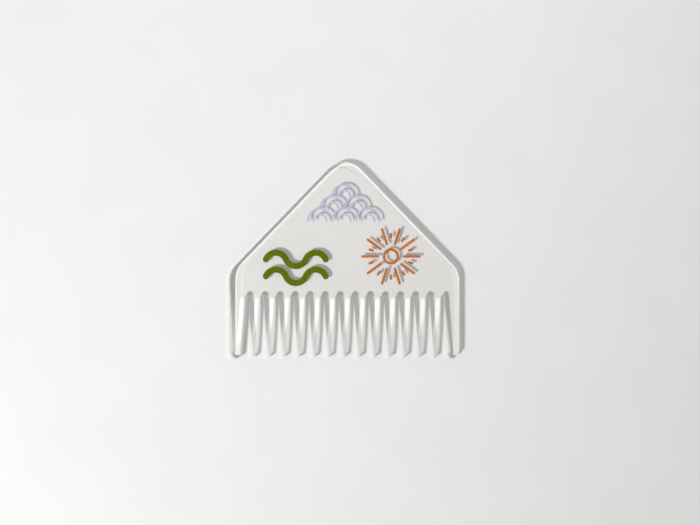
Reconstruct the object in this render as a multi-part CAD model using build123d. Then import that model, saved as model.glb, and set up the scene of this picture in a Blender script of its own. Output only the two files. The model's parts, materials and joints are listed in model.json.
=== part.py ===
from build123d import *
import math
import os

# Hair comb cut from one sheet of clear acrylic, with three flat ink motifs printed on its top face.
# It lies flat: +X runs across the teeth, +Y points to the apex and +Z is the sheet's thickness.
# The origin is the middle of the outline, on the underside. All sizes are in millimetres.

# Plate
WIDTH = 90.0
THICKNESS = 3.0
SLOPE_ANGLE = 46.0  # of each roof slope, from the X axis
SIDE_ABOVE_ROOTS = 9.4  # from the roots of the teeth up to the shoulder's sharp corner
CORNER_RADIUS = 9.0  # at the apex and at both shoulders

# Teeth
TOOTH_PITCH = 5.93
TOOTH_LENGTH = 24.4  # of an inner tooth, from the bottom of a gap to its tip
END_TOOTH_EXTRA_LENGTH = 0.4
END_TOOTH_MIN_WIDTH = 5.5  # least width of an end tooth at its root
END_TOOTH_OUTER_RADIUS = 4.3
END_TOOTH_INNER_RADIUS = 1.3
ROOT_RADIUS = 0.75  # of the round bottom of each gap
TIP_RADIUS = 0.55  # of the round tip of each inner tooth
JOIN_LENGTH = 0.001  # arcs whose ends are closer than this touch, with no straight side between them

# Print
INK_THICKNESS = 0.1
PRINT_MARGIN = 3.6  # bare sheet between the print and the slopes or the gaps

ARCH_RADIUS = 4.7  # to the centre line of an outer arch
ARCH_INNER_RADIUS = 2.5
ARCH_LINE_WIDTH = 0.8
ARCH_ROWS = 3
ARCH_MARGIN = 7.0  # bare sheet between the top arch and the slopes

WAVE_RADIUS = 4.2  # to the centre line of each bend
WAVE_BEND_ANGLE = 68.0  # from the crest of a bend to where it meets the next one
WAVE_BENDS = 3
WAVE_LINE_WIDTH = 2.4
WAVE_SPACING = 6.6
WAVE_COUNT = 2

SUN_RADIUS = 11.6
SUN_DISC_RADIUS = 3.2
SUN_LINE_WIDTH = 1.0
SUN_RAY_PAIRS = 10  # one long and one short ray in each pair
SUN_RAY_GAP = 1.4  # between the disc's ring and the rays
SUN_SHORT_RAY_INSET = 2.4  # by which a short ray is cut back at each end

# Derived from the sizes above
end_tooth_length = TOOTH_LENGTH + END_TOOTH_EXTRA_LENGTH
shoulder_y = end_tooth_length + SIDE_ABOVE_ROOTS
slope = math.radians(SLOPE_ANGLE)
sharp_apex_y = shoulder_y + WIDTH / 2 * math.tan(slope)
height = sharp_apex_y - CORNER_RADIUS * (1 / math.cos(slope) - 1)
origin_shift = Pos(0, -height / 2, 0)


def flank_lean():
    """Return the angle from +Y at which one straight flank is tangent to a root arc and a tip arc."""
    both_radii = ROOT_RADIUS + TIP_RADIUS
    between_centres = TOOTH_LENGTH - both_radii
    half_pitch = TOOTH_PITCH / 2
    reach = math.hypot(half_pitch, between_centres)
    return math.acos(both_radii / reach) - math.atan2(between_centres, half_pitch)


def gap_positions():
    """Return the X of every gap: as many as fit between the two end teeth, centred on the comb."""
    land = TOOTH_PITCH - 2 * ROOT_RADIUS
    count = math.floor((WIDTH - 2 * END_TOOTH_MIN_WIDTH + land) / TOOTH_PITCH)
    return [(index - (count - 1) / 2) * TOOTH_PITCH for index in range(count)]


def side_arcs(lean):
    """Return the arcs of the right side, anticlockwise: the two of the end tooth's tip, then the shoulder.

    The tip's inner arc touches the tooth's flank and is its lowest point. The outer arc comes from the
    side of the comb and runs into the inner one, or into a flat bottom where the tooth is too wide.
    """
    height_above_tip = end_tooth_length - ROOT_RADIUS - END_TOOTH_INNER_RADIUS
    flank_offset = (ROOT_RADIUS + END_TOOTH_INNER_RADIUS) / math.cos(lean) + height_above_tip * math.tan(lean)
    inner_x = gap_positions()[-1] + flank_offset
    outer_x = WIDTH / 2 - END_TOOTH_OUTER_RADIUS
    radius_step = END_TOOTH_OUTER_RADIUS - END_TOOTH_INNER_RADIUS
    slant = math.asin(max(0, inner_x - outer_x) / radius_step)
    outer_y = END_TOOTH_INNER_RADIUS + radius_step * math.cos(slant)
    flank_angle = 180 + math.degrees(lean)
    meeting_angle = 270 + math.degrees(slant)

    turn = 90 - SLOPE_ANGLE
    shoulder_drop = CORNER_RADIUS * math.tan(math.radians(turn / 2))
    return [
        ((inner_x, END_TOOTH_INNER_RADIUS), END_TOOTH_INNER_RADIUS, flank_angle, meeting_angle - flank_angle),
        ((outer_x, outer_y), END_TOOTH_OUTER_RADIUS, meeting_angle, 360 - meeting_angle),
        ((WIDTH / 2 - CORNER_RADIUS, shoulder_y - shoulder_drop), CORNER_RADIUS, 0, turn),
    ]


def mirrored(arc):
    """Return an arc's twin on the left side, still anticlockwise."""
    (x, y), radius, start, sweep = arc
    return (-x, y), radius, 180 - start - sweep, sweep


def comb_arcs():
    """Return every arc of the outline, anticlockwise: centre, radius, start angle and sweep."""
    lean = flank_lean()
    lean_angle = math.degrees(lean)
    half_turn = 180 - 2 * lean_angle
    right = side_arcs(lean)
    gaps = gap_positions()

    arcs = [mirrored(arc) for arc in reversed(right)]
    for gap_x in gaps:
        arcs.append(((gap_x, end_tooth_length - ROOT_RADIUS), ROOT_RADIUS, 180 - lean_angle, -half_turn))
        if gap_x != gaps[-1]:
            tip_centre = (gap_x + TOOTH_PITCH / 2, END_TOOTH_EXTRA_LENGTH + TIP_RADIUS)
            arcs.append((tip_centre, TIP_RADIUS, 180 + lean_angle, half_turn))
    arcs += right
    arcs.append(((0, height - CORNER_RADIUS), CORNER_RADIUS, 90 - SLOPE_ANGLE, 2 * SLOPE_ANGLE))
    return arcs


def comb_outline():
    """Return the closed outline: the arcs, and a straight side wherever one doesn't touch the next."""
    arcs = [CenterArc(*arc) for arc in comb_arcs()]
    ends = [(arcs[index - 1] @ 1, arc @ 0) for index, arc in enumerate(arcs)]
    return arcs + [Line(*pair) for pair in ends if (pair[0] - pair[1]).length > JOIN_LENGTH]


def make_comb():
    """Return the whole comb: one outline, as thick as the sheet everywhere."""
    return extrude(make_face(comb_outline()), THICKNESS)


def print_on_top(sketch):
    """Return a flat drawing as a film of ink that lies on the sheet's top face."""
    return extrude(Pos(0, 0, THICKNESS) * sketch, INK_THICKNESS)


def slope_limit(y, margin):
    """Return how far from the middle a print may reach at height y and stay a margin inside the slopes."""
    return ((sharp_apex_y - y) * math.cos(slope) - margin) / math.sin(slope)


def arch(radius):
    """Return one half-round arch of line, with its two feet at y = 0."""
    return SlotArc(CenterArc((0, 0), radius, 0, 180), ARCH_LINE_WIDTH)


def make_arches():
    """Return the print under the apex: a pyramid of double arches, one more in each lower row."""
    top_row_y = sharp_apex_y - (ARCH_RADIUS + ARCH_LINE_WIDTH / 2 + ARCH_MARGIN) / math.cos(slope)
    double_arch = arch(ARCH_RADIUS) + arch(ARCH_INNER_RADIUS)
    drawing = Sketch()
    for row in range(ARCH_ROWS):
        row_y = top_row_y - row * ARCH_RADIUS
        for column in range(row + 1):
            column_x = (2 * column - row) * ARCH_RADIUS
            drawing += Pos(column_x, row_y) * double_arch
    return print_on_top(drawing)


def make_waves():
    """Return the print at the lower left: thick wavy lines, one above the other."""
    bend_angle = math.radians(WAVE_BEND_ANGLE)
    bend_width = 2 * WAVE_RADIUS * math.sin(bend_angle)
    centre_drop = WAVE_RADIUS * math.cos(bend_angle)
    wave = Sketch()
    for bend in range(WAVE_BENDS):
        side = 1 if bend % 2 == 0 else -1
        centre = ((bend - (WAVE_BENDS - 1) / 2) * bend_width, -side * centre_drop)
        start_angle = 90 * side - WAVE_BEND_ANGLE
        wave += SlotArc(CenterArc(centre, WAVE_RADIUS, start_angle, 2 * WAVE_BEND_ANGLE), WAVE_LINE_WIDTH)

    half_width = WAVE_BENDS * bend_width / 2 + WAVE_LINE_WIDTH / 2
    half_height = WAVE_RADIUS - centre_drop + WAVE_LINE_WIDTH / 2
    bottom_y = end_tooth_length + PRINT_MARGIN + half_height
    top_y = bottom_y + (WAVE_COUNT - 1) * WAVE_SPACING
    middle_x = half_width - slope_limit(top_y + half_height, PRINT_MARGIN)
    drawing = Sketch()
    for index in range(WAVE_COUNT):
        drawing += Pos(middle_x, bottom_y + index * WAVE_SPACING) * wave
    return print_on_top(drawing)


def make_sun():
    """Return the print at the lower right: a ring with long and short rays round it."""
    ring = Circle(SUN_DISC_RADIUS) - Circle(SUN_DISC_RADIUS - SUN_LINE_WIDTH)
    long_start = SUN_DISC_RADIUS + SUN_RAY_GAP + SUN_LINE_WIDTH / 2
    long_end = SUN_RADIUS - SUN_LINE_WIDTH / 2
    short_start = long_start + SUN_SHORT_RAY_INSET
    short_end = long_end - SUN_SHORT_RAY_INSET
    middle = Pos((long_start + long_end) / 2, 0)
    long_ray = middle * SlotCenterToCenter(long_end - long_start, SUN_LINE_WIDTH)
    short_ray = middle * SlotCenterToCenter(short_end - short_start, SUN_LINE_WIDTH)

    centre_y = end_tooth_length + PRINT_MARGIN + SUN_RADIUS
    centre_x = slope_limit(centre_y, PRINT_MARGIN + SUN_RADIUS)
    step = 360 / SUN_RAY_PAIRS
    drawing = Sketch() + ring
    for pair in range(SUN_RAY_PAIRS):
        drawing += Rot(0, 0, pair * step) * long_ray
        drawing += Rot(0, 0, (pair + 0.5) * step) * short_ray
    return print_on_top(Pos(centre_x, centre_y) * drawing)


def export_part(shape, name):
    """Move one part into the comb's frame and write its STEP file."""
    moved = origin_shift * shape
    moved.label = name
    export_step(moved, f"parts/{name}.step")


os.makedirs("parts", exist_ok=True)
export_part(make_comb(), "comb")
export_part(make_arches(), "print_arches")
export_part(make_waves(), "print_waves")
export_part(make_sun(), "print_sun")
print("overall height", round(height, 2), "gaps", len(gap_positions()))
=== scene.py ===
"""A hair comb of clear acrylic with three printed motifs, lying on a sheet of white paper."""

import json
import logging
import math
from dataclasses import dataclass, field
from enum import Enum
from typing import Union

import bpy
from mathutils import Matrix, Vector

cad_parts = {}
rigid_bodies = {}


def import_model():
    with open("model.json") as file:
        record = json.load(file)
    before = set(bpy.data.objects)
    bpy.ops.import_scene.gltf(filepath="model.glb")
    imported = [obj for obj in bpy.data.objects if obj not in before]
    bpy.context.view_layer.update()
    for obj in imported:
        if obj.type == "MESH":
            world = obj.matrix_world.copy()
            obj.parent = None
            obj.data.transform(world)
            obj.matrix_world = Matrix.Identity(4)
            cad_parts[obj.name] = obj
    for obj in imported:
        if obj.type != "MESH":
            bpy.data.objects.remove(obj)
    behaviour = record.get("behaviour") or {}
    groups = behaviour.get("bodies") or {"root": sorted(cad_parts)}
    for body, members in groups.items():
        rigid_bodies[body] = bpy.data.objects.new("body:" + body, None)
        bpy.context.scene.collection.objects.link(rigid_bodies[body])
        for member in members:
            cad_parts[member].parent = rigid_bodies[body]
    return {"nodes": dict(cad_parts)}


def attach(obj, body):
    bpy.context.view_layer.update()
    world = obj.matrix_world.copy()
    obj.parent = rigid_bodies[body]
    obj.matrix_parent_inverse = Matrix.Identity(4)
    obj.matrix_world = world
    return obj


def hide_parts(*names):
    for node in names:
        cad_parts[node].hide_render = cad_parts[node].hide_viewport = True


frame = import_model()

LOG = logging.getLogger("hair_comb")
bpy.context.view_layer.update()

PER_METRE = 1000.0  # millimetres in a metre

Scalar = Union[float, bpy.types.NodeSocket]
Vector3 = tuple[float, float, float]
Colour = tuple[float, float, float, float]


class Axis(Enum):
    """The order in which a vector's parts come."""

    X = 0
    Y = 1
    Z = 2


@dataclass(frozen=True)
class Ramp:
    """A smooth change of one value as another goes from low to high, held at both ends."""

    low: float
    high: float
    to_low: float = 0.0
    to_high: float = 1.0

    def moved(self, by: float) -> "Ramp":
        """Return the same change, further along by a distance."""
        return Ramp(self.low + by, self.high + by, self.to_low, self.to_high)


class Graph:
    """A thin, typed helper over one node tree: each method adds a node and returns its output."""

    def __init__(self, tree: bpy.types.NodeTree) -> None:
        """Keep the tree that the methods add to.

        Args:
            tree: The node tree of a material, a world or a group.
        """
        self.tree = tree

    def node(self, kind: str) -> bpy.types.Node:
        """Add one node.

        Args:
            kind: Blender's name for the node's type.

        Returns:
            The new node.
        """
        return self.tree.nodes.new(kind)

    def feed(self, socket: bpy.types.NodeSocket, value: Union[Scalar, Colour]) -> None:
        """Set or link one input.

        Args:
            socket: The input.
            value: A number or a colour to set, or an output to link.
        """
        if isinstance(value, bpy.types.NodeSocket):
            self.tree.links.new(value, socket)
        else:
            socket.default_value = value

    def math(self, operation: str, *values: Scalar) -> bpy.types.NodeSocket:
        """Add a Math node.

        Args:
            operation: Blender's name for the sum.
            values: Its inputs, in order.

        Returns:
            The result.
        """
        node = self.node("ShaderNodeMath")
        node.operation = operation
        for socket, value in zip(node.inputs, values):
            self.feed(socket, value)
        return node.outputs[0]

    def choose(self, test: Scalar, yes: Scalar, no: Scalar) -> bpy.types.NodeSocket:
        """Add the choice between two values.

        Args:
            test: 1 or 0.
            yes: The value for 1.
            no: The value for 0.

        Returns:
            One of the two values.
        """
        taken = self.math("MULTIPLY", test, yes)
        return self.math("ADD", taken, self.math("MULTIPLY", self.math("SUBTRACT", 1.0, test), no))

    def ramp(self, value: Scalar, ramp: Ramp) -> bpy.types.NodeSocket:
        """Map a value smoothly from one range to another, and hold it at the ends.

        Args:
            value: What is mapped.
            ramp: The two ranges.

        Returns:
            The mapped value.
        """
        node = self.node("ShaderNodeMapRange")
        node.interpolation_type = "SMOOTHSTEP"
        self.feed(node.inputs["Value"], value)
        node.inputs["From Min"].default_value = ramp.low
        node.inputs["From Max"].default_value = ramp.high
        node.inputs["To Min"].default_value = ramp.to_low
        node.inputs["To Max"].default_value = ramp.to_high
        return node.outputs["Result"]

    def split(self, vector: bpy.types.NodeSocket) -> list[bpy.types.NodeSocket]:
        """Split a vector.

        Args:
            vector: The output to split.

        Returns:
            Its X, Y and Z.
        """
        node = self.node("ShaderNodeSeparateXYZ")
        self.feed(node.inputs[0], vector)
        return [node.outputs[axis.value] for axis in Axis]

    def scaled(self, vector: bpy.types.NodeSocket, factors: Vector3) -> bpy.types.NodeSocket:
        """Multiply a vector part by part.

        Args:
            vector: The vector.
            factors: What each part is multiplied by.

        Returns:
            The product.
        """
        node = self.node("ShaderNodeVectorMath")
        node.operation = "MULTIPLY"
        self.feed(node.inputs[0], vector)
        node.inputs[1].default_value = factors
        return node.outputs["Vector"]

    def in_millimetres(self, position: bpy.types.NodeSocket) -> list[bpy.types.NodeSocket]:
        """Split a place that is in metres.

        Args:
            position: The place.

        Returns:
            Its X, Y and Z in millimetres.
        """
        return self.split(self.scaled(position, (PER_METRE, PER_METRE, PER_METRE)))

    def noise(self, vector: bpy.types.NodeSocket, scale: Scalar, detail: float) -> bpy.types.NodeSocket:
        """Add a noise texture.

        Args:
            vector: Where the noise is read.
            scale: Its scale, in cells per unit of the vector.
            detail: How many finer layers it has.

        Returns:
            A value of about 0.5, that goes up and down.
        """
        node = self.node("ShaderNodeTexNoise")
        self.feed(node.inputs["Vector"], vector)
        self.feed(node.inputs["Scale"], scale)
        node.inputs["Detail"].default_value = detail
        return node.outputs["Fac"]

    def blend(
        self, factor: Scalar, first: Union[Colour, bpy.types.NodeSocket], second: Colour
    ) -> bpy.types.NodeSocket:
        """Mix two colours.

        Args:
            factor: 0 for the first, 1 for the second.
            first: The first colour, or an output that gives it.
            second: The second colour.

        Returns:
            The mixed colour.
        """
        node = self.node("ShaderNodeMix")
        node.data_type = "RGBA"
        self.feed(node.inputs["Factor"], factor)
        self.feed(node.inputs["A"], first)
        self.feed(node.inputs["B"], second)
        return node.outputs["Result"]

    def bump(self, height: bpy.types.NodeSocket, strength: float, distance: float) -> bpy.types.NodeSocket:
        """Turn a height into a bumped normal.

        Args:
            height: The height, from 0 to 1.
            strength: How much of the bump is used.
            distance: The depth, in metres, of a height of 1.

        Returns:
            The normal.
        """
        node = self.node("ShaderNodeBump")
        node.inputs["Strength"].default_value = strength
        node.inputs["Distance"].default_value = distance
        self.feed(node.inputs["Height"], height)
        return node.outputs["Normal"]


def seen_directly(graph: Graph) -> bpy.types.NodeSocket:
    """Add the test for what the camera sees, straight, mirrored or through the acrylic.

    Args:
        graph: The graph that gets the nodes.

    Returns:
        1 for a ray that has met no matt surface since the camera, and 0 for any other.
    """
    path = graph.node("ShaderNodeLightPath")
    seen = graph.math("MAXIMUM", path.outputs["Is Camera Ray"], path.outputs["Is Glossy Ray"])
    seen = graph.math("MAXIMUM", seen, path.outputs["Is Transmission Ray"])
    unscattered = graph.math("LESS_THAN", path.outputs["Diffuse Depth"], 0.5)
    return graph.math("MULTIPLY", seen, unscattered)


@dataclass(frozen=True)
class HandlingMarks:
    """Faint rub marks that lie both ways, in a group of nodes that the materials share."""

    name: str = "handling_marks"
    rubs: tuple[Vector3, Vector3] = ((1.0, 6.0, 1.0), (5.0, 1.0, 1.0))
    detail: float = 4.0
    shown: Ramp = Ramp(0.55, 0.78)

    def group(self) -> bpy.types.NodeTree:
        """Find the group, or make it on its first use.

        Returns:
            The group, with inputs Position and Scale and an output Mask.
        """
        if self.name in bpy.data.node_groups:
            return bpy.data.node_groups[self.name]
        group = bpy.data.node_groups.new(self.name, "ShaderNodeTree")
        group.interface.new_socket("Position", in_out="INPUT", socket_type="NodeSocketVector")
        group.interface.new_socket("Scale", in_out="INPUT", socket_type="NodeSocketFloat")
        group.interface.new_socket("Mask", in_out="OUTPUT", socket_type="NodeSocketFloat")
        graph = Graph(group)
        given = graph.node("NodeGroupInput").outputs
        rubbed = [graph.scaled(given["Position"], rub) for rub in self.rubs]
        fine = [graph.noise(place, given["Scale"], self.detail) for place in rubbed]
        mask = graph.ramp(graph.math("MAXIMUM", *fine), self.shown)
        graph.feed(graph.node("NodeGroupOutput").inputs["Mask"], mask)
        return group

    def place(self, graph: Graph, position: bpy.types.NodeSocket, scale: float) -> bpy.types.NodeSocket:
        """Put the group into a material.

        Args:
            graph: The material's graph.
            position: Where the marks are read.
            scale: How many of them there are in a metre.

        Returns:
            1 on a mark, and 0 beside it.
        """
        node = graph.node("ShaderNodeGroup")
        node.node_tree = self.group()
        graph.feed(node.inputs["Position"], position)
        node.inputs["Scale"].default_value = scale
        return node.outputs["Mask"]


@dataclass(frozen=True)
class Outline:
    """The comb's outline seen from above, in millimetres from the middle of its box.

    It serves the sums for light alone. The blends are the widths over which its corners are rounded,
    and its tip lies a little past the real tips.
    """

    half_width: float = 45.0
    thickness: float = 3.0
    sharp_apex: float = 42.38
    slope_angle: float = 46.0
    apex_blend: float = 16.5
    shoulder_blend: float = 4.2
    pitch: float = 5.93
    last_gap: float = 38.545
    root: float = -13.62
    tip: float = -38.8
    root_radius: float = 0.75
    lean_angle: float = 4.11

    def gap_half_width(self, graph: Graph, y: Scalar) -> bpy.types.NodeSocket:
        """Add the sum for half the width of a gap.

        Args:
            graph: The graph that gets the nodes.
            y: The height on the comb.

        Returns:
            Half the width between the flanks at that height.
        """
        lean = math.radians(self.lean_angle)
        below = graph.math("MAXIMUM", graph.math("SUBTRACT", self.root - self.root_radius, y), 0.0)
        return graph.math("MULTIPLY_ADD", below, math.tan(lean), self.root_radius / math.cos(lean))

    def from_tooth_middle(self, graph: Graph, x: Scalar) -> bpy.types.NodeSocket:
        """Add the sum for the place across a tooth.

        Args:
            graph: The graph that gets the nodes.
            x: The point's place across the comb.

        Returns:
            The way from the middle of the nearest tooth, below 0 to its left.
        """
        cell = graph.math("FRACT", graph.math("MULTIPLY_ADD", x, 1.0 / self.pitch, 0.5))
        return graph.math("MULTIPLY_ADD", cell, self.pitch, -self.pitch / 2.0)

    def tooth_width(self, graph: Graph, y: Scalar) -> bpy.types.NodeSocket:
        """Add the sum for the width of a tooth.

        Args:
            graph: The graph that gets the nodes.
            y: The height on the comb.

        Returns:
            The width between the flanks of one tooth at that height.
        """
        return graph.math("MULTIPLY_ADD", self.gap_half_width(graph, y), -2.0, self.pitch)

    def among_teeth(self, graph: Graph, x: Scalar, y: Scalar) -> bpy.types.NodeSocket:
        """Add the test for the narrow teeth.

        Args:
            graph: The graph that gets the nodes.
            x: The point's place across the comb.
            y: The point's place along it.

        Returns:
            1 on the teeth between the two end teeth, and 0 elsewhere.
        """
        inner = graph.math("LESS_THAN", graph.math("ABSOLUTE", x), self.last_gap)
        return graph.math("MULTIPLY", inner, graph.math("LESS_THAN", y, self.root))

    def depth(self, graph: Graph, x: Scalar, y: Scalar) -> bpy.types.NodeSocket:
        """Add the sum for how deep a point lies inside the outline.

        Args:
            graph: The graph that gets the nodes.
            x: The point's place across the comb.
            y: The point's place along it.

        Returns:
            The distance in from the nearest side, below 0 outside.
        """
        angle = math.radians(self.slope_angle)
        across = graph.math("ABSOLUTE", x)
        side = graph.math("SUBTRACT", self.half_width, across)
        below = graph.math("MULTIPLY_ADD", y, -math.cos(angle), self.sharp_apex * math.cos(angle))
        leaning = graph.math("MULTIPLY", x, math.sin(angle))
        right, left = graph.math("SUBTRACT", below, leaning), graph.math("ADD", below, leaning)
        roof = graph.math("SMOOTH_MIN", right, left, self.apex_blend)
        house = graph.math("SMOOTH_MIN", side, roof, self.shoulder_blend)

        from_tooth = graph.math("ABSOLUTE", self.from_tooth_middle(graph, x))
        from_gap = graph.math("SUBTRACT", self.pitch / 2.0, from_tooth)
        from_gap = graph.math("MAXIMUM", from_gap, graph.math("SUBTRACT", across, self.last_gap))
        above = graph.math("MAXIMUM", graph.math("SUBTRACT", y, self.root - self.root_radius), 0.0)
        square = graph.math("MULTIPLY_ADD", above, above, graph.math("MULTIPLY", from_gap, from_gap))
        tooth = graph.math("SUBTRACT", graph.math("SQRT", square), self.gap_half_width(graph, y))
        ends = graph.math("SUBTRACT", y, self.tip)
        return graph.math("MINIMUM", graph.math("MINIMUM", house, tooth), ends)


@dataclass(frozen=True)
class KeyDirection:
    """Where the main light comes from."""

    azimuth: float = 213.0
    from_vertical: float = 45.5

    def toward(self) -> tuple[float, float]:
        """Return the level unit vector that points to the light."""
        angle = math.radians(self.azimuth)
        return math.cos(angle), math.sin(angle)

    def slope(self, refractive_index: float = 1.0) -> float:
        """Return how far a ray moves sideways for each millimetre that it goes down.

        Args:
            refractive_index: That of what the ray is in.

        Returns:
            The tangent of the ray's angle from the vertical.
        """
        return math.tan(math.asin(math.sin(math.radians(self.from_vertical)) / refractive_index))


@dataclass(frozen=True)
class Spot:
    """One shaded point: its place in millimetres, and the part of the comb that it is in.

    The last three are 1 or 0. A point is beside a flank where it is lower than the roots and is not
    on the far end tooth.
    """

    x: bpy.types.NodeSocket
    y: bpy.types.NodeSocket
    z: bpy.types.NodeSocket
    tooth_width: bpy.types.NodeSocket
    among_teeth: bpy.types.NodeSocket
    before_last_gap: bpy.types.NodeSocket
    beside_flank: bpy.types.NodeSocket


@dataclass(frozen=True)
class LightBands:
    """The share of the key light that reaches the paper, as refraction through the sheet bends it.

    A ray that enters the top face lands a little further from the light. So a band along each wall
    that faces the light stays dark, and a band along each wall behind it is lit twice, because the
    wall turns the light back. A wall hides what lies behind it, apart from light that a narrow
    tooth lets through near the paper. Lengths are in millimetres, a share of 1 is what open paper
    gets, and a ramp whose name ends in tip is measured up from the outline's tip.
    """

    outline: Outline = field(default_factory=Outline)
    light: KeyDirection = field(default_factory=KeyDirection)
    refractive_index: float = 1.49
    soft_edge: float = 0.14
    flat_face: float = 0.7

    # Light that comes straight down through the faces
    direct_share: float = 0.91
    rounded_edge: float = 0.6
    rounded_edge_in_teeth: float = 0.47
    edge_line: float = 0.5
    edge_line_rise: Ramp = Ramp(0.0, 0.2)
    edge_line_fall: Ramp = Ramp(0.8, 0.3)
    clear_above_roots: Ramp = Ramp(-11.0, -7.0)
    clear_beside_gaps: Ramp = Ramp(-40.8, -41.8)

    # Light that the walls turn back, and the lines inside the walls of the plate
    turned_reach: float = 1.33
    turned_across: float = 1.5
    turned_across_edge: Ramp = Ramp(-0.2, 0.2)
    turned_in_teeth: float = 0.85
    turned_widths: tuple[float, float] = (1.7, 2.9)
    turned_off_flank: Ramp = Ramp(-0.9, -1.7, 1.0, 0.3)
    turned_at_sides: Ramp = Ramp(-1.0, -6.0, 0.0, 0.2)
    turned_at_apex: Ramp = Ramp(34.0, 37.0, 0.0, 0.12)
    turned_above_tip: Ramp = Ramp(1.1, 2.1)
    fold_rise: Ramp = Ramp(-0.1, 0.15)
    fold_fall: Ramp = Ramp(0.6, 0.35)
    fold_at_apex: Ramp = Ramp(33.5, 35.5, 0.0, 0.35)
    rim: Ramp = Ramp(-1.45, -1.75, 0.0, 0.8)
    rim_low_on_sides: Ramp = Ramp(-6.0, 12.0, 0.4, 1.0)
    rim_at_apex: Ramp = Ramp(34.5, 37.5, 1.0, 0.4)

    # Even light in the teeth, the lit strips beside their flanks, and the most light at an end tooth's tip
    scattered_by_width: Ramp = Ramp(3.3, 1.6, 0.19, 0.7)
    scattered_above_tip: Ramp = Ramp(1.0, 1.9)
    scattered_at_end: float = 0.5
    scattered_at_far_end: float = 0.1
    scattered_down_end: Ramp = Ramp(-10.0, -38.0)
    scattered_across_end: Ramp = Ramp(2.6, 1.8)
    lit_flank: float = 1.02
    lit_flank_start: float = -26.4
    lit_flank_growth: float = 0.06
    lit_side: float = 0.8
    lit_side_start: float = -10.0
    lit_side_growth: float = 0.04
    lit_edge: Ramp = Ramp(0.15, -0.15)
    lit_below_roots: Ramp = Ramp(-10.0, -13.0)
    lit_above_end_tip: Ramp = Ramp(1.2, 3.4, 0.2, 1.0)
    limit_above_end_tip: Ramp = Ramp(0.8, 2.6, 0.8, 1.17)
    limit_ends_above_tip: Ramp = Ramp(5.5, 9.5)

    # Light that passes the walls of a tooth, low and at the brow, and those of the plate
    foot_height: float = 2.6
    foot_fall: float = 0.55
    foot_limit: float = 1.3
    foot_share: Ramp = Ramp(-0.6, 0.6, 0.07, 0.8)
    foot_near_tip: Ramp = Ramp(0.8, 4.8, 0.6, 1.0)
    foot_above_tip: Ramp = Ramp(1.4, 2.0)
    brow_share: Ramp = Ramp(2.05, 2.85, 0.0, 0.8)
    side_share: Ramp = Ramp(0.0, 2.2, 0.25, 0.0)

    def shift(self) -> tuple[float, float]:
        """Find the level way back from where a key ray lands to where it entered the top face.

        Returns:
            The way's X and Y.
        """
        length = self.outline.thickness * self.light.slope(self.refractive_index)
        to_x, to_y = self.light.toward()
        return length * to_x, length * to_y

    def above_tips(self, graph: Graph, spot: Spot, ramp: Ramp) -> bpy.types.NodeSocket:
        """Add a change that is measured up from the outline's tip.

        Args:
            graph: The material's graph.
            spot: The shaded point.
            ramp: The change.

        Returns:
            Its value at the point.
        """
        return graph.ramp(spot.y, ramp.moved(self.outline.tip))

    def find(self, graph: Graph, position: bpy.types.NodeSocket) -> Spot:
        """Add the sums for where a point is.

        Args:
            graph: The material's graph.
            position: The shaded point.

        Returns:
            The point's place.
        """
        x, y, z = graph.in_millimetres(position)
        before_last_gap = graph.math("LESS_THAN", x, self.outline.last_gap)
        return Spot(
            x=x,
            y=y,
            z=z,
            tooth_width=self.outline.tooth_width(graph, y),
            among_teeth=self.outline.among_teeth(graph, x, y),
            before_last_gap=before_last_gap,
            beside_flank=graph.math(
                "MULTIPLY", before_last_gap, graph.math("LESS_THAN", y, self.outline.root)
            ),
        )

    def direct(self, graph: Graph, spot: Spot) -> bpy.types.NodeSocket:
        """Add the light that comes straight through, with a brighter line along its edge.

        Args:
            graph: The material's graph.
            spot: The shaded point.

        Returns:
            The share of light.
        """
        to_x, to_y = self.shift()
        entry_x, entry_y = graph.math("ADD", spot.x, to_x), graph.math("ADD", spot.y, to_y)
        entry = self.outline.depth(graph, entry_x, entry_y)
        edge = graph.choose(spot.among_teeth, self.rounded_edge_in_teeth, self.rounded_edge)
        entry = graph.math("SUBTRACT", entry, edge)
        through = graph.ramp(entry, Ramp(-self.soft_edge, self.soft_edge))
        through = graph.math("MULTIPLY", through, self.direct_share)
        rise, fall = graph.ramp(entry, self.edge_line_rise), graph.ramp(entry, self.edge_line_fall)
        above = graph.ramp(spot.y, self.clear_above_roots)
        beside = graph.ramp(spot.x, self.clear_beside_gaps)
        line = graph.math("MULTIPLY", rise, fall)
        line = graph.math("MULTIPLY", line, graph.math("MAXIMUM", above, beside))
        return graph.math("MULTIPLY_ADD", line, self.edge_line, through)

    def turned(self, graph: Graph, spot: Spot, ahead: bpy.types.NodeSocket) -> bpy.types.NodeSocket:
        """Add the light that the walls turn back under the sheet.

        Args:
            graph: The material's graph.
            spot: The shaded point.
            ahead: How deep in the outline the point is that such light comes over.

        Returns:
            The share of light.
        """
        to_x, _ = self.shift()
        reach = graph.math("MULTIPLY_ADD", spot.tooth_width, self.turned_across, to_x)
        reach = graph.math("SUBTRACT", reach, self.outline.from_tooth_middle(graph, spot.x))
        kept = graph.ramp(reach, self.turned_across_edge)
        kept = graph.math("MAXIMUM", kept, graph.math("SUBTRACT", 1.0, spot.among_teeth))
        narrow = graph.ramp(spot.tooth_width, Ramp(*self.turned_widths, 0.0, self.turned_in_teeth))
        at_flanks = graph.choose(spot.among_teeth, narrow, self.turned_in_teeth)
        at_flanks = graph.math("MULTIPLY", at_flanks, graph.ramp(ahead, self.turned_off_flank))
        at_flanks = graph.math("MULTIPLY", kept, at_flanks)
        at_sides, at_apex = graph.ramp(spot.y, self.turned_at_sides), graph.ramp(spot.y, self.turned_at_apex)
        turned = graph.choose(spot.beside_flank, at_flanks, graph.math("ADD", at_sides, at_apex))
        turned = graph.math("MULTIPLY", turned, graph.ramp(ahead, Ramp(self.soft_edge, -self.soft_edge)))
        return graph.math("MULTIPLY", turned, self.above_tips(graph, spot, self.turned_above_tip))

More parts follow.
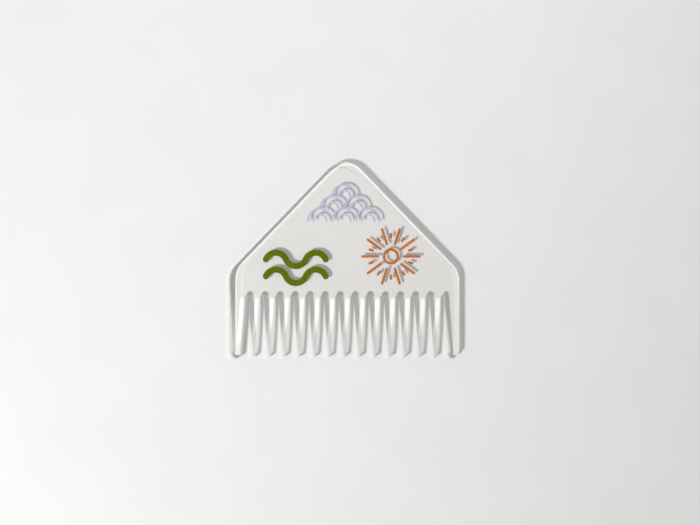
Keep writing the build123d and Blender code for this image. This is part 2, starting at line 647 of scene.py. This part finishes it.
    def fold(self, graph: Graph, spot: Spot, ahead: bpy.types.NodeSocket) -> bpy.types.NodeSocket:
        """Add the thin darker line inside the lit rim at the apex.

        Args:
            graph: The material's graph.
            spot: The shaded point.
            ahead: How deep in the outline the point is that turned light comes over.

        Returns:
            The share of light that is lost.
        """
        fold = graph.math("MULTIPLY", graph.ramp(ahead, self.fold_rise), graph.ramp(ahead, self.fold_fall))
        return graph.math("MULTIPLY", fold, graph.ramp(spot.y, self.fold_at_apex))

    def rim_light(self, graph: Graph, spot: Spot, ahead: bpy.types.NodeSocket) -> bpy.types.NodeSocket:
        """Add the brighter line just inside the walls of the plate.

        Args:
            graph: The material's graph.
            spot: The shaded point.
            ahead: How deep in the outline the point is that turned light comes over.

        Returns:
            The share of light.
        """
        rim = graph.math("MULTIPLY", graph.ramp(ahead, self.rim), graph.ramp(spot.y, self.rim_low_on_sides))
        rim = graph.math("MULTIPLY", rim, graph.ramp(spot.y, self.rim_at_apex))
        return graph.math("MULTIPLY", rim, graph.math("SUBTRACT", 1.0, spot.beside_flank))

    def scattered(self, graph: Graph, spot: Spot) -> bpy.types.NodeSocket:
        """Add the even light in the teeth, and the strips beside their flanks that stay lit.

        Args:
            graph: The material's graph.
            spot: The shaded point.

        Returns:
            The share of light that no longer makes bands.
        """
        narrow = graph.ramp(spot.tooth_width, self.scattered_by_width)
        narrow = graph.math("MULTIPLY", narrow, self.above_tips(graph, spot, self.scattered_above_tip))
        last_flank = graph.math("ADD", self.outline.gap_half_width(graph, spot.y), self.outline.last_gap)
        from_gap = graph.math("SUBTRACT", spot.x, last_flank)
        from_side = graph.math("ADD", spot.x, self.outline.half_width)
        inward_at_end = graph.choose(spot.before_last_gap, from_side, from_gap)
        at_end = graph.choose(spot.before_last_gap, self.scattered_at_end, self.scattered_at_far_end)
        at_end = graph.math("MULTIPLY", at_end, graph.ramp(spot.y, self.scattered_down_end))
        at_end = graph.math("MULTIPLY", at_end, graph.ramp(inward_at_end, self.scattered_across_end))
        scattered = graph.choose(spot.among_teeth, narrow, at_end)

        across = self.outline.from_tooth_middle(graph, spot.x)
        inward = graph.math("MULTIPLY_ADD", spot.tooth_width, 0.5, across)
        inward = graph.choose(spot.among_teeth, inward, inward_at_end)
        flank_strip = graph.math("SUBTRACT", self.lit_flank_start, spot.y)
        flank_strip = graph.math("MULTIPLY", flank_strip, self.lit_flank_growth)
        side_strip = graph.math("SUBTRACT", self.lit_side_start, spot.y)
        side_strip = graph.math("MULTIPLY", side_strip, self.lit_side_growth)
        strip = graph.choose(spot.among_teeth, flank_strip, side_strip)
        in_strip = graph.ramp(graph.math("SUBTRACT", inward, strip), self.lit_edge)
        in_strip = graph.math("MULTIPLY", in_strip, graph.ramp(spot.y, self.lit_below_roots))
        lit = graph.choose(spot.among_teeth, self.lit_flank, self.lit_side)
        scattered = graph.choose(in_strip, lit, scattered)
        end_tips = self.above_tips(graph, spot, self.lit_above_end_tip)
        return graph.math("MULTIPLY", scattered, graph.math("MAXIMUM", end_tips, spot.among_teeth))

    def limit(self, graph: Graph, spot: Spot) -> bpy.types.NodeSocket:
        """Add the most light that there is near the tip of an end tooth.

        Args:
            graph: The material's graph.
            spot: The shaded point.

        Returns:
            The greatest share of light, which is past all shares away from those tips.
        """
        near_tip = self.above_tips(graph, spot, self.limit_above_end_tip)
        above = self.above_tips(graph, spot, self.limit_ends_above_tip)
        return graph.math("ADD", graph.math("ADD", near_tip, above), spot.among_teeth)

    def under_sheet(self, graph: Graph, spot: Spot) -> bpy.types.NodeSocket:
        """Add the sum of the light that comes down through the sheet's faces.

        Args:
            graph: The material's graph.
            spot: The shaded point.

        Returns:
            The share of light.
        """
        to_x, to_y = self.shift()
        ahead_x = graph.math("ADD", spot.x, -to_x * self.turned_reach)
        ahead_y = graph.math("ADD", spot.y, -to_y * self.turned_reach)
        ahead = self.outline.depth(graph, ahead_x, ahead_y)
        turned = graph.math("ADD", self.turned(graph, spot, ahead), self.rim_light(graph, spot, ahead))
        banded = graph.math("ADD", self.direct(graph, spot), turned)
        banded = graph.math("SUBTRACT", banded, self.fold(graph, spot, ahead))
        scattered = self.scattered(graph, spot)
        banded = graph.math("MULTIPLY", banded, graph.math("SUBTRACT", 1.0, scattered))
        under = graph.math("ADD", banded, scattered)
        return graph.math("MINIMUM", under, self.limit(graph, spot))

    def through_walls(self, graph: Graph, spot: Spot) -> bpy.types.NodeSocket:
        """Add the light that passes the sheet's walls.

        Args:
            graph: The material's graph.
            spot: The shaded point.

        Returns:
            The share of light.
        """
        foot = graph.math("MULTIPLY_ADD", spot.tooth_width, -self.foot_fall, self.foot_height)
        foot = graph.math("SUBTRACT", graph.math("MINIMUM", foot, self.foot_limit), spot.z)
        foot = graph.ramp(foot, self.foot_share)
        foot = graph.math("MULTIPLY", foot, self.above_tips(graph, spot, self.foot_near_tip))
        foot = graph.math("MULTIPLY", foot, self.above_tips(graph, spot, self.foot_above_tip))
        flanks = graph.math("MAXIMUM", foot, graph.ramp(spot.z, self.brow_share))
        return graph.choose(spot.among_teeth, flanks, graph.ramp(spot.z, self.side_share))

    def share(
        self, graph: Graph, position: bpy.types.NodeSocket, normal: bpy.types.NodeSocket
    ) -> bpy.types.NodeSocket:
        """Add the share of the key light that passes the face at a point.

        Args:
            graph: The material's graph.
            position: The shaded point.
            normal: The surface normal there.

        Returns:
            The share, which is 1 for a ray that leaves the sheet again, so that none counts twice.
        """
        spot = self.find(graph, position)
        upright = graph.math("ABSOLUTE", graph.split(normal)[Axis.Z.value])
        flat = graph.math("GREATER_THAN", upright, self.flat_face)
        met = graph.choose(flat, self.under_sheet(graph, spot), self.through_walls(graph, spot))
        backfacing = graph.node("ShaderNodeNewGeometry").outputs["Backfacing"]
        return graph.math("MAXIMUM", met, backfacing)


@dataclass(frozen=True)
class AcrylicFinish:
    """Clear cast acrylic: polished faces, and walls with the fine upright lines of a laser cut."""

    name: str = "clear_acrylic"
    tint: Colour = (0.995, 0.983, 0.962, 1.0)
    roughness: float = 0.0
    wall_roughness: float = 0.03
    wall: Ramp = Ramp(0.7, 0.3)
    marks_scale: float = 90.0
    marks_roughness: float = 0.012
    cut_lines_scale: Vector3 = (2600.0, 2600.0, 60.0)
    cut_lines_strength: float = 0.25
    cut_lines_depth: float = 0.00002
    reflections_followed: int = 2
    marks: HandlingMarks = field(default_factory=HandlingMarks)
    bands: LightBands = field(default_factory=LightBands)

    def material(self) -> bpy.types.Material:
        """Build the material.

        Returns:
            The finished material.
        """
        material = bpy.data.materials.new(self.name)
        material.use_nodes = True
        graph = Graph(material.node_tree)
        surface = material.node_tree.nodes["Principled BSDF"]
        output = material.node_tree.nodes["Material Output"]
        coordinates = graph.node("ShaderNodeTexCoord")
        position, normal = coordinates.outputs["Object"], coordinates.outputs["Normal"]

        surface.inputs["Base Color"].default_value = self.tint
        surface.inputs["Transmission Weight"].default_value = 1.0
        surface.inputs["IOR"].default_value = self.bands.refractive_index
        marks = self.marks.place(graph, position, self.marks_scale)
        upright = graph.math("ABSOLUTE", graph.split(normal)[Axis.Z.value])
        wall = graph.ramp(upright, self.wall)
        worn = graph.math("MULTIPLY", marks, self.marks_roughness)
        rough = graph.math("MULTIPLY_ADD", wall, self.wall_roughness, graph.math("ADD", worn, self.roughness))
        graph.feed(surface.inputs["Roughness"], rough)
        cut_lines = graph.noise(graph.scaled(position, self.cut_lines_scale), 1.0, 2.0)
        height = graph.math("MULTIPLY", cut_lines, wall)
        bumped = graph.bump(height, self.cut_lines_strength, self.cut_lines_depth)
        graph.feed(surface.inputs["Normal"], bumped)

        clear = graph.node("ShaderNodeBsdfTransparent")
        graph.feed(clear.inputs["Color"], self.bands.share(graph, position, normal))
        path = graph.node("ShaderNodeLightPath")
        straight = graph.node("ShaderNodeMixShader")
        deep = graph.math("GREATER_THAN", path.outputs["Glossy Depth"], self.reflections_followed + 0.5)
        graph.feed(straight.inputs[0], deep)
        graph.feed(straight.inputs[1], surface.outputs[0])
        graph.feed(straight.inputs[2], graph.node("ShaderNodeBsdfTransparent").outputs[0])
        mix = graph.node("ShaderNodeMixShader")
        graph.feed(mix.inputs[0], path.outputs["Is Shadow Ray"])
        graph.feed(mix.inputs[1], straight.outputs[0])
        graph.feed(mix.inputs[2], clear.outputs[0])
        graph.feed(output.inputs["Surface"], mix.outputs[0])
        return material


@dataclass(frozen=True)
class InkFinish:
    """Satin printing ink, a little uneven where it lay on thicker or thinner."""

    name: str
    colour: Colour
    thin_colour: Colour
    roughness: float = 0.42
    shine: float = 0.12
    patch_scale: float = 260.0
    patch_share: float = 0.7
    grain_scale: float = 2400.0
    grain_share: float = 0.3
    grain_strength: float = 0.3
    grain_depth: float = 0.00001
    thin: Ramp = Ramp(0.35, 0.68)
    marks_scale: float = 140.0
    marks_roughness: float = 0.12
    marks: HandlingMarks = field(default_factory=HandlingMarks)

    def material(self) -> bpy.types.Material:
        """Build the material.

        Returns:
            The finished material.
        """
        material = bpy.data.materials.new(self.name)
        material.use_nodes = True
        graph = Graph(material.node_tree)
        surface = material.node_tree.nodes["Principled BSDF"]
        position = graph.node("ShaderNodeTexCoord").outputs["Object"]
        patches = graph.noise(position, self.patch_scale, 3.0)
        grain = graph.noise(position, self.grain_scale, 2.0)
        laid = graph.math("MULTIPLY", patches, self.patch_share)
        laid = graph.math("ADD", laid, graph.math("MULTIPLY", grain, self.grain_share))
        colour = graph.blend(graph.ramp(laid, self.thin), self.colour, self.thin_colour)
        graph.feed(surface.inputs["Base Color"], colour)
        marks = self.marks.place(graph, position, self.marks_scale)
        rough = graph.math("MULTIPLY_ADD", marks, self.marks_roughness, self.roughness)
        graph.feed(surface.inputs["Roughness"], rough)
        surface.inputs["Specular IOR Level"].default_value = self.shine
        graph.feed(surface.inputs["Normal"], graph.bump(grain, self.grain_strength, self.grain_depth))
        return material


@dataclass(frozen=True)
class PaperFinish:
    """Smooth white paper with a faint tooth, which looks evenly pale where it runs off into the distance, and
    carries painted reflected light just in front of the comb's walls that face the key light.
    """

    name: str = "white_paper"
    colour: Colour = (0.845, 0.85, 0.84, 1.0)
    shaded: Colour = (0.83, 0.835, 0.825, 1.0)
    cloud_scale: float = 35.0
    cloud: Ramp = Ramp(0.3, 0.7)
    roughness: float = 0.9
    shine: float = 0.15
    # painted reflected light: the paper's colour just in front of the comb's walls that face the key light
    painted_wall_light: Colour = (0.92, 0.92, 0.905, 1.0)
    painted_light_reach: float = 1.7
    painted_light_fall: Ramp = Ramp(-1.6, 0.2)
    outside: Ramp = Ramp(0.15, -0.15)
    above_tip: Ramp = Ramp(-0.6, 1.0)
    outline: Outline = field(default_factory=Outline)
    light: KeyDirection = field(default_factory=KeyDirection)
    distant: Colour = (1.0, 1.0, 0.99, 1.0)
    distant_strength: float = 0.84
    distance: Ramp = Ramp(0.18, 0.42)

    def painted_wall_light_mask(self, graph: Graph, position: bpy.types.NodeSocket) -> bpy.types.NodeSocket:
        """Add the mask of painted light on the paper, where the comb's polished walls would throw the key
        light back.

        Args:
            graph: The material's graph.
            position: The shaded point.

        Returns:
            1 just in front of the walls that face the key light, and 0 away from them.
        """
        x, y, _ = graph.in_millimetres(position)
        to_x, to_y = (self.painted_light_reach * part for part in self.light.toward())
        ahead = self.outline.depth(graph, graph.math("ADD", x, -to_x), graph.math("ADD", y, -to_y))
        outside = graph.ramp(self.outline.depth(graph, x, y), self.outside)
        above_tips = graph.ramp(y, self.above_tip.moved(self.outline.tip))
        outside = graph.math("MULTIPLY", outside, above_tips)
        return graph.math("MULTIPLY", graph.ramp(ahead, self.painted_light_fall), outside)

    def material(self) -> bpy.types.Material:
        """Build the material.

        Returns:
            The finished material.
        """
        material = bpy.data.materials.new(self.name)
        material.use_nodes = True
        graph = Graph(material.node_tree)
        surface = material.node_tree.nodes["Principled BSDF"]
        output = material.node_tree.nodes["Material Output"]
        position = graph.node("ShaderNodeTexCoord").outputs["Object"]
        cloud = graph.noise(position, self.cloud_scale, 3.0)
        plain = graph.blend(graph.ramp(cloud, self.cloud), self.colour, self.shaded)
        # lighten the paper in front of the walls with painted reflected light from the key lamp
        colour = graph.blend(self.painted_wall_light_mask(graph, position), plain, self.painted_wall_light)
        graph.feed(surface.inputs["Base Color"], colour)
        surface.inputs["Roughness"].default_value = self.roughness
        surface.inputs["Specular IOR Level"].default_value = self.shine

        distant = graph.node("ShaderNodeEmission")
        distant.inputs["Color"].default_value = self.distant
        distant.inputs["Strength"].default_value = self.distant_strength
        length = graph.node("ShaderNodeVectorMath")
        length.operation = "LENGTH"
        graph.feed(length.inputs[0], position)
        far = graph.ramp(length.outputs["Value"], self.distance)
        mix = graph.node("ShaderNodeMixShader")
        graph.feed(mix.inputs[0], graph.math("MULTIPLY", far, seen_directly(graph)))
        graph.feed(mix.inputs[1], surface.outputs[0])
        graph.feed(mix.inputs[2], distant.outputs[0])
        graph.feed(output.inputs["Surface"], mix.outputs[0])
        return material


def select_only(piece: bpy.types.Object) -> None:
    """Select one object and make it the active one.

    Args:
        piece: The object.
    """
    bpy.ops.object.select_all(action="DESELECT")
    piece.select_set(True)
    bpy.context.view_layer.objects.active = piece


@dataclass
class AcrylicSheet:
    """The comb itself: one piece of sheet whose cut edges are just broken."""

    node: str = "comb"
    name: str = "comb_sheet"
    slot: str = "clear_acrylic"
    merge_distance: float = 0.000001
    edge_break: float = 0.00012
    edge_segments: int = 2
    rim_angle: float = 40.0
    flat_angle: float = 0.5
    face_weight: int = 100
    finish: AcrylicFinish = field(default_factory=AcrylicFinish)

    def build(self) -> bpy.types.Object:
        """Copy the sheet's solid, merge it and break its rims.

        Returns:
            The piece, in place.
        """
        select_only(frame["nodes"][self.node])
        bpy.ops.object.duplicate()
        piece = bpy.context.object
        piece.name = self.name
        bpy.ops.object.parent_clear(type="CLEAR_KEEP_TRANSFORM")
        for key in list(piece.keys()):
            del piece[key]
        bpy.ops.object.mode_set(mode="EDIT")
        bpy.ops.mesh.customdata_custom_splitnormals_clear()
        bpy.ops.mesh.select_all(action="SELECT")
        bpy.ops.mesh.remove_doubles(threshold=self.merge_distance)
        bpy.ops.mesh.dissolve_limited(angle_limit=math.radians(self.flat_angle))
        bpy.ops.mesh.select_all(action="DESELECT")
        bpy.ops.mesh.select_mode(type="EDGE")
        bpy.ops.mesh.edges_select_sharp(sharpness=math.radians(self.rim_angle))
        bpy.ops.mesh.bevel(
            offset=self.edge_break, segments=self.edge_segments, affect="EDGES", clamp_overlap=False
        )
        bpy.ops.object.mode_set(mode="OBJECT")
        bpy.ops.object.shade_smooth()
        weighted = piece.modifiers.new("even_faces", "WEIGHTED_NORMAL")
        weighted.weight = self.face_weight
        bpy.ops.object.modifier_apply(modifier=weighted.name)
        return piece

    def dress(self, piece: bpy.types.Object) -> None:
        """Give the piece its material and its place in the model.

        Args:
            piece: The piece that build made.
        """
        piece.data.materials.clear()
        piece.data.materials.append(self.finish.material())
        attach(piece, "root")
        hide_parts(self.node)


@dataclass
class PrintedMotif:
    """One motif of ink on the sheet's top face."""

    node: str
    finish: InkFinish

    def dress(self) -> bpy.types.Object:
        """Give the motif its ink.

        Returns:
            The motif's object.
        """
        motif = frame["nodes"][self.node]
        material = self.finish.material()
        for holder in motif.material_slots:
            holder.material = material
        return motif


@dataclass(frozen=True)
class Lamp:
    """One soft round lamp."""

    name: str
    place: Vector3
    aim: Vector3
    power: float
    diameter: float

    def build(self, casters: list[bpy.types.Object]) -> bpy.types.Object:
        """Make the lamp.

        Args:
            casters: The only objects that cast shadows in its light.

        Returns:
            The lamp's object.
        """
        light = bpy.data.lights.new(self.name, "AREA")
        light.shape = "DISK"
        light.size = self.diameter
        light.energy = self.power
        light.cycles.use_multiple_importance_sampling = False
        lamp = bpy.data.objects.new(self.name, light)
        lamp.visible_transmission = False
        lamp.visible_glossy = False
        bpy.context.scene.collection.objects.link(lamp)
        lamp.location = self.place
        way = Vector(self.aim) - Vector(self.place)
        lamp.rotation_euler = way.to_track_quat("-Z", "Y").to_euler()
        shading = bpy.data.collections.new(f"shades_{self.name}")
        for caster in casters:
            shading.objects.link(caster)
        lamp.light_linking.blocker_collection = shading
        return lamp


@dataclass
class KeyLamp:
    """The main lamp, and the shades that set the print's shadow where refraction puts it.

    A lamp ray meets the print, bends in the sheet, and lands nearer to the print than a straight ray
    does. So each motif has a shade, seen by lamp rays only, at the height in the sheet from which
    a straight ray lands at the same place.
    """

    bands: LightBands = field(default_factory=LightBands)
    power: float = 4.62
    distance: float = 0.8
    diameter: float = 0.14

    def build_shade(self, motif: bpy.types.Object) -> bpy.types.Object:
        """Copy a motif as a shade inside the sheet.

        Args:
            motif: The motif on the top face.

        Returns:
            The shade.
        """
        select_only(motif)
        bpy.ops.object.duplicate()
        shade = bpy.context.object
        shade.name = f"shade_of_{motif.name}"
        bpy.ops.object.parent_clear(type="CLEAR_KEEP_TRANSFORM")
        for key in list(shade.keys()):
            del shade[key]
        bent = self.bands.light.slope(self.bands.refractive_index)
        sunk = self.bands.outline.thickness * (1.0 - bent / self.bands.light.slope())
        shade.location.z -= sunk / PER_METRE
        bpy.ops.object.transform_apply(location=True, rotation=False, scale=False)
        shade.visible_camera = False
        shade.visible_diffuse = False
        shade.visible_glossy = False
        shade.visible_transmission = False
        shade.visible_volume_scatter = False
        return shade

    def build(self, sheet: bpy.types.Object, motifs: list[bpy.types.Object]) -> bpy.types.Object:
        """Make the lamp.

        Args:
            sheet: The comb's sheet.
            motifs: The printed motifs on it.

        Returns:
            The lamp's object.
        """
        to_x, to_y = self.bands.light.toward()
        tilt = math.radians(self.bands.light.from_vertical)
        toward = Vector((math.sin(tilt) * to_x, math.sin(tilt) * to_y, math.cos(tilt)))
        lamp = Lamp("key", tuple(self.distance * toward), (0.0, 0.0, 0.0), self.power, self.diameter)
        return lamp.build([sheet, *(self.build_shade(motif) for motif in motifs)])


@dataclass
class Studio:
    """The paper, the lamps, the pale surroundings and the camera."""

    paper_size: float = 4.0
    paper_drop: float = 0.00005
    surroundings: float = 0.305
    backdrop: float = 0.9
    lens: float = 35.0
    clip_start: float = 0.01
    camera_place: Vector3 = (0.00225, -0.0008, 0.2693)
    paper: PaperFinish = field(default_factory=PaperFinish)
    key: KeyLamp = field(default_factory=KeyLamp)
    fill: Lamp = Lamp("fill", place=(0.04, 0.25, 0.35), aim=(0.04, 0.25, 0.0), power=0.5, diameter=0.2)

    def build_paper(self) -> bpy.types.Object:
        """Lay the sheet of paper under the comb.

        Returns:
            The paper's object.
        """
        bpy.ops.object.select_all(action="DESELECT")
        bpy.ops.mesh.primitive_plane_add(size=self.paper_size, location=(0.0, 0.0, -self.paper_drop))
        paper = bpy.context.object
        paper.name = "paper"
        bpy.ops.object.transform_apply(location=True, rotation=False, scale=False)
        paper.data.materials.append(self.paper.material())
        return paper

    def build_world(self) -> None:
        """Make the even light from all round, which looks like a pale backdrop where it is seen."""
        world = bpy.data.worlds.new("surroundings")
        bpy.context.scene.world = world
        world.use_nodes = True
        world.cycles.sampling_method = "NONE"
        graph = Graph(world.node_tree)
        background = world.node_tree.nodes["Background"]
        seen = seen_directly(graph)
        strength = graph.math("MULTIPLY_ADD", seen, self.backdrop - self.surroundings, self.surroundings)
        background.inputs["Color"].default_value = (1.0, 1.0, 1.0, 1.0)
        graph.feed(background.inputs["Strength"], strength)

    def build_camera(self) -> bpy.types.Object:
        """Set the camera straight above the comb.

        Returns:
            The camera's object.
        """
        camera = bpy.data.objects.new("camera", bpy.data.cameras.new("camera"))
        camera.data.lens = self.lens
        camera.data.clip_start = self.clip_start
        camera.location = self.camera_place
        bpy.context.scene.collection.objects.link(camera)
        bpy.context.scene.camera = camera
        return camera

    def build(self, sheet: bpy.types.Object, motifs: list[bpy.types.Object]) -> None:
        """Make the whole studio.

        Args:
            sheet: The comb's sheet.
            motifs: The printed motifs on it.
        """
        self.build_camera()
        paper = self.build_paper()
        self.build_world()
        self.key.build(sheet, motifs)
        self.fill.build([paper])
        bpy.context.scene.view_settings.view_transform = "Standard"


def main() -> None:
    """Build the comb, its print and the studio, in that order."""
    logging.basicConfig(level=logging.INFO)
    sheet = AcrylicSheet()
    piece = sheet.build()
    sheet.dress(piece)
    LOG.info("%s: %d faces", piece.name, len(piece.data.polygons))
    lavender = InkFinish("lavender_ink", (0.50, 0.485, 0.635, 1.0), (0.57, 0.56, 0.685, 1.0))
    green = InkFinish("green_ink", (0.092, 0.132, 0.001, 1.0), (0.112, 0.16, 0.003, 1.0))
    orange = InkFinish("orange_ink", (0.46, 0.14, 0.03, 1.0), (0.53, 0.2, 0.055, 1.0))
    motifs = (
        PrintedMotif("print_arches", lavender),
        PrintedMotif("print_waves", green),
        PrintedMotif("print_sun", orange),
    )
    printed = [motif.dress() for motif in motifs]
    for motif, ink in zip(printed, motifs):
        LOG.info("%s: %s", motif.name, ink.finish.name)
    Studio().build(piece, printed)


if __name__ == "__main__":
    main()
